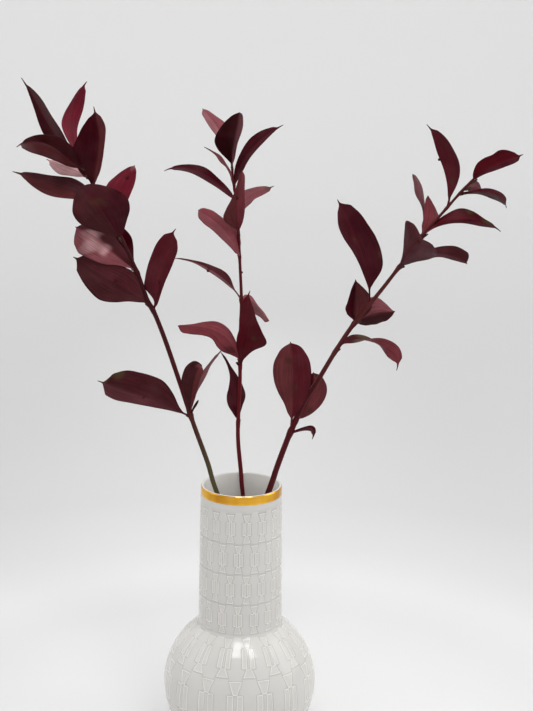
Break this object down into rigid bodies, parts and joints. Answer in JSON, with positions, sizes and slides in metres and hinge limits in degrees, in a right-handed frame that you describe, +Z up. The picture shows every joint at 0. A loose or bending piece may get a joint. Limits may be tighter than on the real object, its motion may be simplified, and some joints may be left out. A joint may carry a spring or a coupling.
{
  "type": "dried ruscus stems in a vase",
  "caption": "Dried ruscus stems with dark red leaves, standing in a white porcelain vase with a ball foot, straight neck and gilt lip.",
  "frame": {"origin": "middle of the vase's flat foot, on the surface that it stands on", "axes": "+Z up along the vase's axis, -Y towards the front, +X to the right seen from the front"},
  "size_m": [0.3796, 0.2161, 0.5663],
  "materials": {
    "porcelain": "gloss white glaze with fine raised ornament and a gilt lip",
    "left_stem": "dried, waxy",
    "middle_stem": "dried, waxy",
    "right_stem": "dried, waxy"
  },
  "bodies": {
    "root": {"vase": "porcelain", "stem_left": "left_stem", "stem_middle": "middle_stem", "stem_right": "right_stem"}
  },
  "joints": []
}
